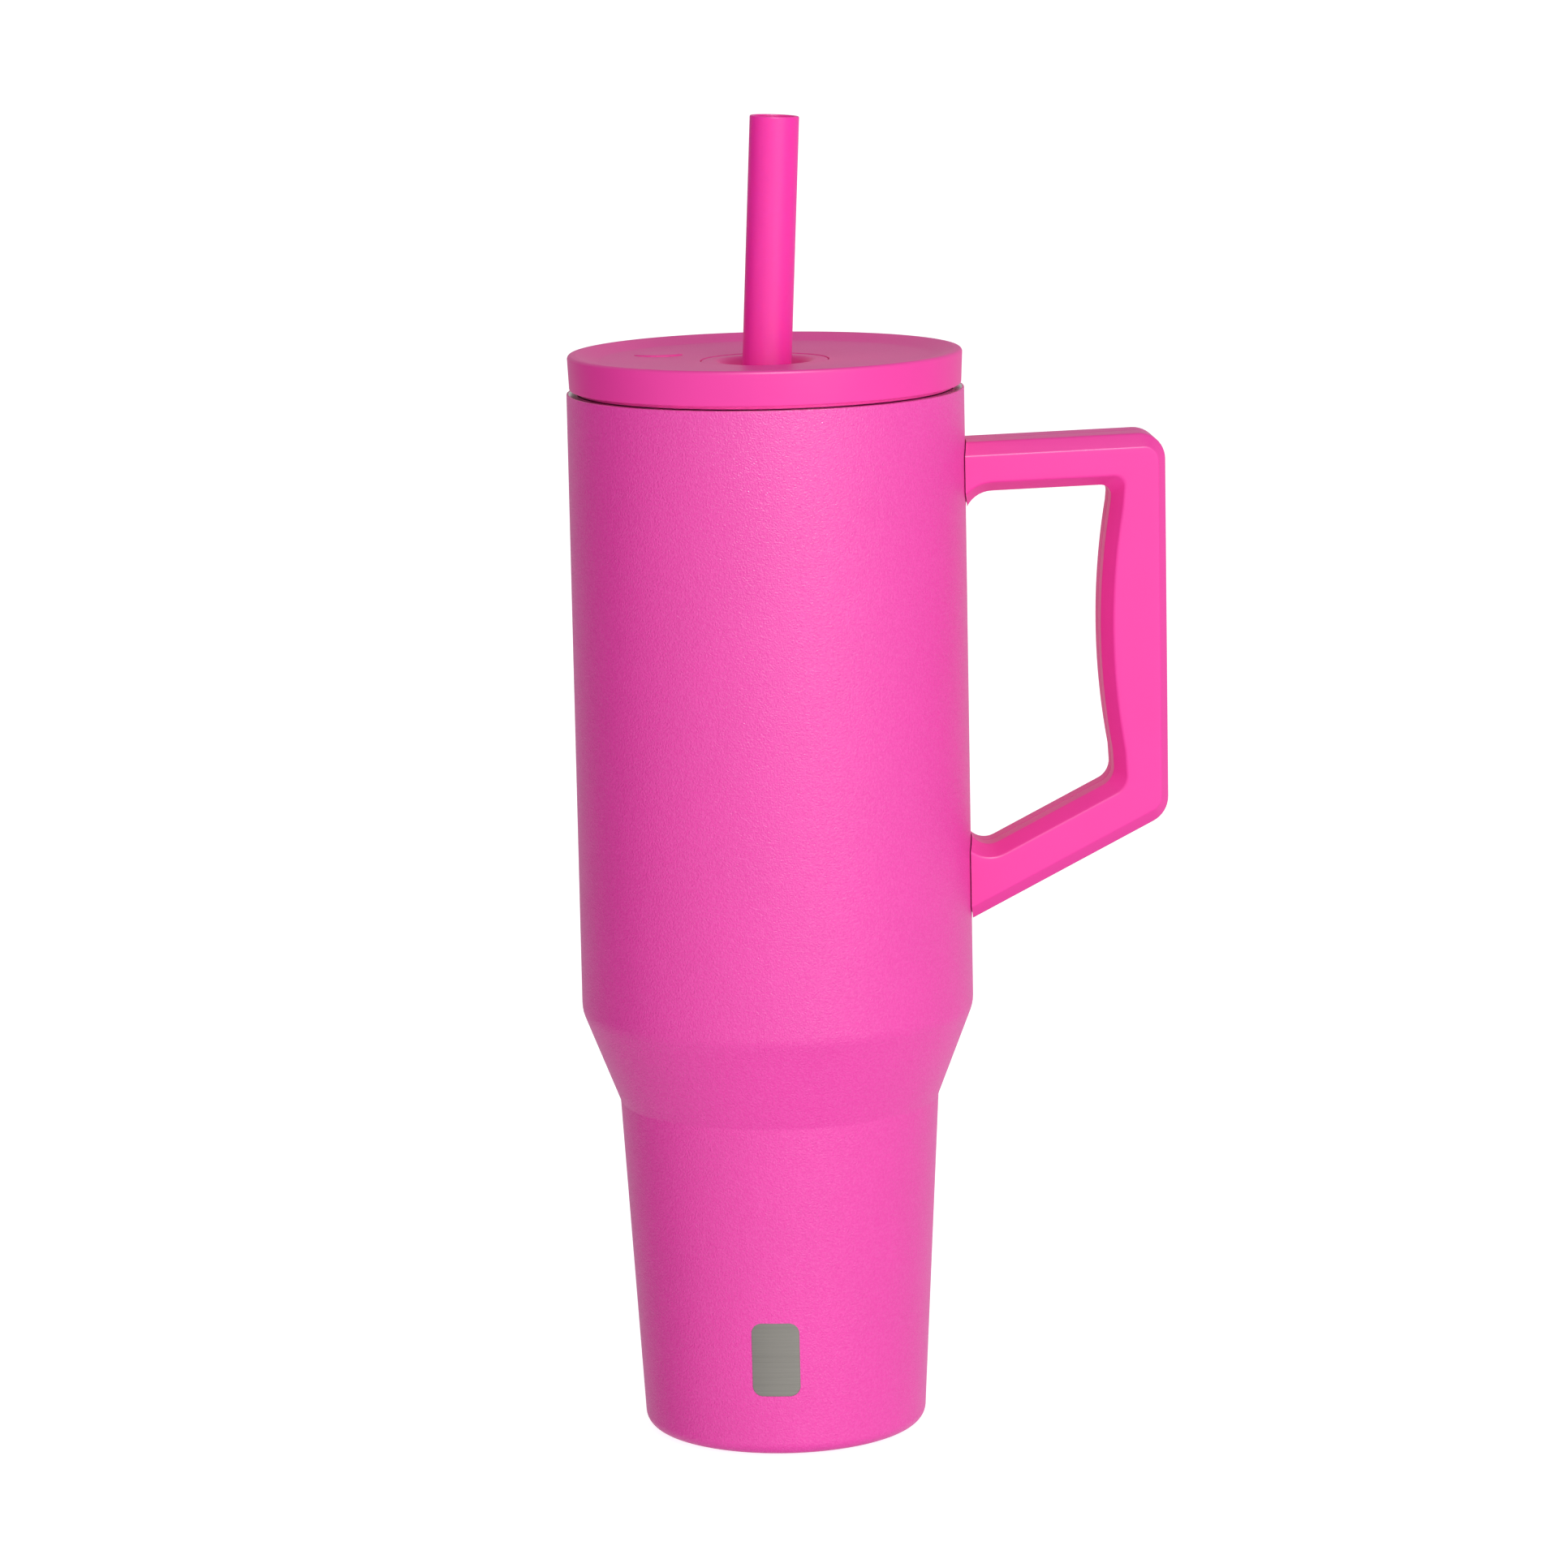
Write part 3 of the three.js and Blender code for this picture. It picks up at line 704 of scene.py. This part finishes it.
def make_screws():
    for i, spot in enumerate(screw_spots(), 1):
        node = f"handle_screw_{i}"
        low, high = (corner.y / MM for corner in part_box(node))
        head_low = high - SCREW_HEAD_H
        outline = rounded([(0, low), (SCREW_R * 0.8, low, EDGE_ROUND), (SCREW_R, low + 0.8, EDGE_ROUND),
                           (SCREW_R, head_low, 0.1), (SCREW_HEAD_R, head_low, TIGHT_ROUND),
                           (SCREW_HEAD_R, high - 0.35, 0.5), (SCREW_HEAD_R - 0.9, high, 0.6), (0, high)])
        piece = revolved(f"screw_{i}", outline, ROUND_SCREW)
        for turn in (0, pi / 2):
            bar = revolved("bar", [Vector((0, high - 1.1)), Vector((1.5, high - 1.1)),
                                   Vector((1.5, high + 1)), Vector((0, high + 1))], 4)
            bar.data.transform(Matrix.Diagonal((1.0, 0.3, 1.0, 1.0)) @ Matrix.Rotation(pi / 4, 4, "Z"))
            bar.data.transform(Matrix.Rotation(turn + 0.4 * i, 4, "Z"))
            piece = boolean(piece, bar)
        piece.data.transform(Matrix.Rotation(-pi / 2, 4, "X"))
        piece.data.transform(Matrix.Translation(Vector((spot[0], 0, spot[1])) * MM))
        finished(piece, "vessel", "screw_steel", node)


# ---- Lid ----

LID_BOTTOM_Z = bottom_of("lid_shell")
LID_TOP_Z = top_of("lid_shell")
LID_R = 48.5
LID_BOTTOM_R = 48.1
LID_WALL = 2.2
SKIRT_Z = LID_BOTTOM_Z + 0.3
STEP_R = 46.3
STEP_H = 0.55
STEP_ROUND = 0.15
SKIRT_ROUND = 0.35
RIM_ROUND = 0.9
DISH_ROUND = 6.0
LEDGE_DROP = 0.6
INSIDE_ROUND = 0.4
PLUG_ROUND = 1.2
GASKET_LIP_ROUND = 0.35
COLLAR_GAP = 0.25
LID_RIM_R = 46.4
DISH_R = 41.0
DISH_Z = 269.2
DISH_MIDDLE_Z = top_of("straw_collar")
PLUG_OUTER_R = 43.0
PLUG_INNER_R = 39.0
PLUG_FLANGE_R = radius_of("lid_plug")
PLUG_TOP_Z = top_of("lid_plug")
PLUG_BOTTOM_Z = bottom_of("lid_plug")
PLUG_FLOOR_H = 2.0
GASKET_LOW = bottom_of("lid_gasket")
GASKET_HIGH = top_of("lid_gasket")
GASKET_R = radius_of("lid_gasket")
GASKET_WAIST_R = 42.6
GROOVE_R = 41.2
COLLAR_R = radius_of("straw_collar")
COLLAR_TUBE_R = 11.2
COLLAR_FLANGE_H = 2.0
COLLAR_SUNK = 0.15
RING_GAP = 0.25


def make_lid_shell():
    hole_r = COLLAR_R + RING_GAP
    ledge_r = COLLAR_TUBE_R + COLLAR_GAP
    ledge_z = DISH_MIDDLE_Z - COLLAR_FLANGE_H - LEDGE_DROP
    inner_r = LID_BOTTOM_R - LID_WALL
    under_z = DISH_MIDDLE_Z - LID_WALL
    outline = rounded([
        (inner_r, LID_BOTTOM_Z - STEP_H, STEP_ROUND),
        (STEP_R, LID_BOTTOM_Z - STEP_H, STEP_ROUND),
        (STEP_R, SKIRT_Z, 0.1),
        (LID_BOTTOM_R, SKIRT_Z, SKIRT_ROUND),
        (LID_R, LID_TOP_Z, RIM_ROUND),
        (LID_RIM_R, LID_TOP_Z, RIM_ROUND),
        (DISH_R, DISH_Z, DISH_ROUND),
        (hole_r, DISH_MIDDLE_Z, 0.25),
        (hole_r, ledge_z, TIGHT_ROUND),
        (ledge_r, ledge_z, TIGHT_ROUND),
        (ledge_r, ledge_z - LID_WALL, TIGHT_ROUND),
        (hole_r + LID_WALL, ledge_z - LID_WALL, INSIDE_ROUND),
        (hole_r + LID_WALL, under_z, INSIDE_ROUND),
        (inner_r, under_z, 0.8),
    ])
    finished(revolved("lid_shell_fine", outline), "lid", "moulded_plastic", "lid_shell")


# Raised plain oval on the dish
OVAL_PLACE = (-25.4, 14.8)
OVAL_HALF = (6.0, 4.0)
OVAL_RISE = 0.4


def make_lid_oval():
    outline = rounded([(0, -0.3), (1.0, -0.3), (1.0, OVAL_RISE * 0.55, 0.12), (0.88, OVAL_RISE, 0.1),
                       (0, OVAL_RISE)])
    piece = revolved("lid_raised_oval", outline, ROUND_SMALL)
    piece.data.transform(Matrix.Diagonal((OVAL_HALF[0], OVAL_HALF[1], 1.0, 1.0)))
    r = sqrt(OVAL_PLACE[0] ** 2 + OVAL_PLACE[1] ** 2)
    share = (r - COLLAR_R) / (DISH_R - COLLAR_R)
    z = DISH_MIDDLE_Z + (DISH_Z - DISH_MIDDLE_Z) * share
    piece.data.transform(Matrix.Translation(Vector((*OVAL_PLACE, z)) * MM))
    finished(piece, "lid", "moulded_plastic")


def make_lid_plug():
    hole_r = COLLAR_TUBE_R + COLLAR_GAP
    flange_z = PLUG_TOP_Z - 2.0
    low, high = GASKET_LOW - 0.3, GASKET_HIGH + 0.3
    outline = rounded([
        (hole_r, PLUG_BOTTOM_Z, EDGE_ROUND),
        (PLUG_OUTER_R, PLUG_BOTTOM_Z, PLUG_ROUND),
        (PLUG_OUTER_R, low, TIGHT_ROUND),
        (GROOVE_R, low, TIGHT_ROUND),
        (GROOVE_R, high, TIGHT_ROUND),
        (PLUG_OUTER_R, high, TIGHT_ROUND),
        (PLUG_OUTER_R, flange_z, EDGE_ROUND),
        (PLUG_FLANGE_R, flange_z, EDGE_ROUND),
        (PLUG_FLANGE_R, PLUG_TOP_Z, EDGE_ROUND),
        (PLUG_INNER_R, PLUG_TOP_Z, EDGE_ROUND),
        (PLUG_INNER_R, PLUG_BOTTOM_Z + PLUG_FLOOR_H, 1.0),
        (hole_r, PLUG_BOTTOM_Z + PLUG_FLOOR_H, EDGE_ROUND),
    ])
    finished(revolved("lid_plug_fine", outline), "lid", "moulded_plastic", "lid_plug")


def make_lid_gasket():
    lip = (GASKET_HIGH - GASKET_LOW) / 4
    inner_r = GROOVE_R + 0.2
    outline = rounded([
        (inner_r, GASKET_LOW, TIGHT_ROUND),
        (GASKET_WAIST_R, GASKET_LOW, TIGHT_ROUND),
        (GASKET_R, GASKET_LOW + lip, GASKET_LIP_ROUND),
        (GASKET_WAIST_R, (GASKET_LOW + GASKET_HIGH) / 2, GASKET_LIP_ROUND),
        (GASKET_R, GASKET_HIGH - lip, GASKET_LIP_ROUND),
        (GASKET_WAIST_R, GASKET_HIGH, TIGHT_ROUND),
        (inner_r, GASKET_HIGH, TIGHT_ROUND),
    ])
    finished(revolved("lid_gasket_fine", outline), "gasket", "silicone", "lid_gasket")


# ---- Straw, collar and seal ----

PIVOT_Z = PIVOT.z / MM
FUNNEL_R = 11.6
FUNNEL_ROUND = 2.4
FUNNEL_FOOT_ROUND = 1.5
FUNNEL_BOTTOM_Z = 263.2
COLLAR_HOLE_R = 8.2
COLLAR_FOOT_HOLE_R = 7.1
COLLAR_BOTTOM_Z = bottom_of("straw_collar")
SEAL_R = 9.0
SEAL_HALF_H = 4.6
SEAT_R = SEAL_R + 0.3
STRAW_R = 6.05
STRAW_WALL = 0.85
STRAW_END_ROUND = 0.35
STRAW_ABOVE = 71.3
LEAN = atan2(STRAW_AXIS.x, STRAW_AXIS.z)
STRAW_BELOW = (PIVOT_Z - bottom_of("straw_tube") - STRAW_R * sin(LEAN)) / cos(LEAN)
STOPPER_R = 8.4
STOPPER_H = 6.0
STOPPER_UP = 12.0


def ball_arc(radius, from_z, to_z, steps=14):
    first, last = asin(from_z / radius), asin(to_z / radius)
    angles = [first + (last - first) * i / steps for i in range(steps + 1)]
    return [(radius * cos(a), radius * sin(a)) for a in angles]


def make_straw_collar():
    seat_top = sqrt(SEAT_R ** 2 - COLLAR_HOLE_R ** 2)
    seat_bottom = -sqrt(SEAT_R ** 2 - COLLAR_FOOT_HOLE_R ** 2)
    flange_z = DISH_MIDDLE_Z - COLLAR_FLANGE_H
    outline = rounded([
        (COLLAR_FOOT_HOLE_R, COLLAR_BOTTOM_Z, EDGE_ROUND),
        (COLLAR_TUBE_R, COLLAR_BOTTOM_Z, 0.8),
        (COLLAR_TUBE_R, flange_z, TIGHT_ROUND),
        (COLLAR_R, flange_z, TIGHT_ROUND),
        (COLLAR_R, DISH_MIDDLE_Z - COLLAR_SUNK, EDGE_ROUND),
        (FUNNEL_R, DISH_MIDDLE_Z - COLLAR_SUNK, FUNNEL_ROUND),
        (COLLAR_HOLE_R, FUNNEL_BOTTOM_Z, FUNNEL_FOOT_ROUND),
        *[(r, z + PIVOT_Z) for r, z in ball_arc(SEAT_R, seat_top, seat_bottom)],
    ])
    finished(revolved("straw_collar_fine", outline), "lid", "moulded_plastic", "straw_collar")


def make_straw():
    bore = STRAW_R + 0.1
    seal = rounded([(bore, -SEAL_HALF_H, EDGE_ROUND), *ball_arc(SEAL_R, -SEAL_HALF_H, SEAL_HALF_H),
                    (bore, SEAL_HALF_H, EDGE_ROUND)])
    finished(leaning(revolved("straw_seal_fine", seal, ROUND_SMALL)), "seal", "silicone", "straw_seal")

    inner_r = STRAW_R - STRAW_WALL
    tube = rounded([(inner_r, -STRAW_BELOW, EDGE_ROUND), (STRAW_R, -STRAW_BELOW, STRAW_END_ROUND),
                    (STRAW_R, STRAW_ABOVE, STRAW_END_ROUND), (inner_r, STRAW_ABOVE, STRAW_END_ROUND)])
    finished(leaning(revolved("straw_tube_fine", tube, ROUND_SMALL)), "straw", "straw_plastic", "straw_tube")

    low = STOPPER_UP - STRAW_BELOW
    stopper = rounded([(bore, low, TIGHT_ROUND), (STOPPER_R, low, 1.0), (STOPPER_R, low + STOPPER_H, 2.2),
                       (bore, low + STOPPER_H, 0.1)])
    finished(leaning(revolved("straw_stopper_fine", stopper, ROUND_SMALL)), "straw", "silicone",
             "straw_stopper")


# ---- Camera, floor and light ----

CAMERA_TURN = radians(3.7)
CAMERA_DISTANCE = 1.456
CAMERA_HEIGHT = 0.4172
CAMERA_YAW = radians(0.104)
CAMERA_PITCH = radians(9.904)
CAMERA_ROLL = radians(-1.16)
CAMERA_LENS = 136.7


def make_camera():
    """Camera in front and slightly above, a few degrees round from the front, with a slight roll."""
    data = bpy.data.cameras.new("camera")
    data.lens = CAMERA_LENS
    data.sensor_width = 36.0
    camera = bpy.data.objects.new("camera", data)
    SCENE.collection.objects.link(camera)
    turn = CAMERA_TURN + CAMERA_YAW
    forward = Vector((sin(turn) * cos(CAMERA_PITCH), cos(turn) * cos(CAMERA_PITCH), -sin(CAMERA_PITCH)))
    right = forward.cross(Vector((0, 0, 1))).normalized()
    up = right.cross(forward)
    axes = (right * cos(CAMERA_ROLL) + up * sin(CAMERA_ROLL),
            up * cos(CAMERA_ROLL) - right * sin(CAMERA_ROLL),
            -forward)
    camera.matrix_world = Matrix.LocRotScale(
        Vector((-CAMERA_DISTANCE * sin(CAMERA_TURN), -CAMERA_DISTANCE * cos(CAMERA_TURN), CAMERA_HEIGHT)),
        Matrix(axes).transposed(), None)
    SCENE.camera = camera


ROOM_LIGHT = 0.86
# Patches of the room: azimuth, elevation, cosine at the edge, cosine at full strength, change of light
ROOM_PATCHES = (
    (0, 0, 0.76, 0.94, 0.40),
    (115, 0, 0.70, 0.95, -0.2),
    (-110, 0, 0.71, 0.93, -ROOM_LIGHT),
    (180, 8, 0.72, 0.96, -0.25),
    (0, -90, 0.62, 0.85, -0.45),
    (0, 90, 0.62, 0.85, -0.55),
)
KEY_LIGHT = {"azimuth": 28, "elevation": 6, "distance": 1.7, "size": (0.9, 1.3), "power": 12}
EDGE_GLINT = {"azimuth": 6, "elevation": 45, "distance": 1.6, "size": (0.4, 0.2), "power": 60,
              "target_z": 0.24, "glints_only": True}
FLOOR_R = 14000
BACKDROP_R = 13900
BACKDROP_H = 9000


def direction_to(azimuth, elevation):
    """Direction out of the scene. Azimuth 0 is in front, positive towards the handle."""
    a, e = radians(azimuth), radians(elevation)
    return Vector((sin(a) * cos(e), -cos(a) * cos(e), sin(e)))


def area_light(name, azimuth, elevation, distance, size, power, target_z=0.16, glints_only=False):
    """Softbox aimed at the axis at the height target_z. Lengths are in metres, power in watts."""
    data = bpy.data.lights.new(name, "AREA")
    data.shape = "RECTANGLE"
    data.size, data.size_y = size
    data.energy = power
    light = bpy.data.objects.new(name, data)
    SCENE.collection.objects.link(light)
    back = direction_to(azimuth, elevation)
    light.location = Vector((0, 0, target_z)) + back * distance
    light.rotation_mode = "QUATERNION"
    light.rotation_quaternion = (-back).to_track_quat("-Z", "Y")
    light.visible_diffuse = not glints_only


def make_world():
    """White room: brighter in front, dimmer on the right, behind, above and below, dark on the left."""
    world = bpy.data.worlds.new("studio")
    world.use_nodes = True
    tree = world.node_tree
    direction = tree.nodes.new("ShaderNodeTexCoord").outputs["Generated"]

    def patch(towards, low, high, change):
        dot = tree.nodes.new("ShaderNodeVectorMath")
        dot.operation = "DOT_PRODUCT"
        dot.inputs[1].default_value = towards
        tree.links.new(direction, dot.inputs[0])
        ramp = tree.nodes.new("ShaderNodeMapRange")
        ramp.interpolation_type = "SMOOTHSTEP"
        tree.links.new(dot.outputs["Value"], ramp.inputs["Value"])
        for key, number in (("From Min", low), ("From Max", high), ("To Min", 0.0), ("To Max", change)):
            ramp.inputs[key].default_value = number
        return ramp.outputs["Result"]

    strength = None
    for azimuth, elevation, low, high, change in ROOM_PATCHES:
        add = tree.nodes.new("ShaderNodeMath")
        add.operation = "ADD"
        tree.links.new(patch(direction_to(azimuth, elevation), low, high, change), add.inputs[0])
        if strength:
            tree.links.new(strength, add.inputs[1])
        else:
            add.inputs[1].default_value = ROOM_LIGHT
        strength = add.outputs[0]
    background = tree.nodes["Background"]
    background.inputs["Color"].default_value = (1, 1, 1, 1)
    tree.links.new(strength, background.inputs["Strength"])
    SCENE.world = world


def make_stage():
    """Pale floor and a far white wall, kept out of reflections and bounced light, then the lights."""
    floor = revolved("floor", [Vector((0, 0)), Vector((FLOOR_R, 0))], ROUND_SMALL)
    n = Nodes("pale_floor")
    shader = n.principled((0.45, 0.45, 0.45, 1), 0.9, Emission_Color=(1, 1, 1, 1), Emission_Strength=0.85)
    floor.data.materials.append(n.finish(shader))
    wall = revolved("backdrop", [Vector((BACKDROP_R, 0)), Vector((BACKDROP_R, BACKDROP_H))], ROUND_SMALL)
    n = Nodes("pale_backdrop")
    wall.data.materials.append(n.finish(n.principled((0, 0, 0, 1), 1.0, Emission_Color=(1, 1, 1, 1),
                                                     Emission_Strength=1.0)))
    wall.visible_shadow = False
    for backing in (floor, wall):
        backing.visible_diffuse = False
        backing.visible_glossy = False
    area_light("key", **KEY_LIGHT)
    area_light("edge_glint", **EDGE_GLINT)
    make_world()
    SCENE.view_settings.view_transform = "Standard"


def paint_cad_nodes():
    """Materials for the CAD nodes that are kept as they are, inside the handle and the base."""
    kept = {"getter": "getter_metal", "vacuum_plug": "bare_steel",
            "handle_upper_bracket": "bare_steel", "handle_lower_bracket": "bare_steel"}
    for node, slot in kept.items():
        piece = frame["nodes"][node]
        piece.data.materials.clear()
        piece.data.materials.append(MATERIALS[slot])


make_camera()
make_outer_wall()
make_inner_wall()
make_base()
make_handle_shell("handle_front_fine", -1, "handle_front_shell")
make_handle_shell("handle_back_fine", 1, "handle_back_shell")
make_screws()
make_lid_shell()
make_lid_oval()
make_lid_plug()
make_lid_gasket()
make_straw_collar()
make_straw()
paint_cad_nodes()
make_stage()
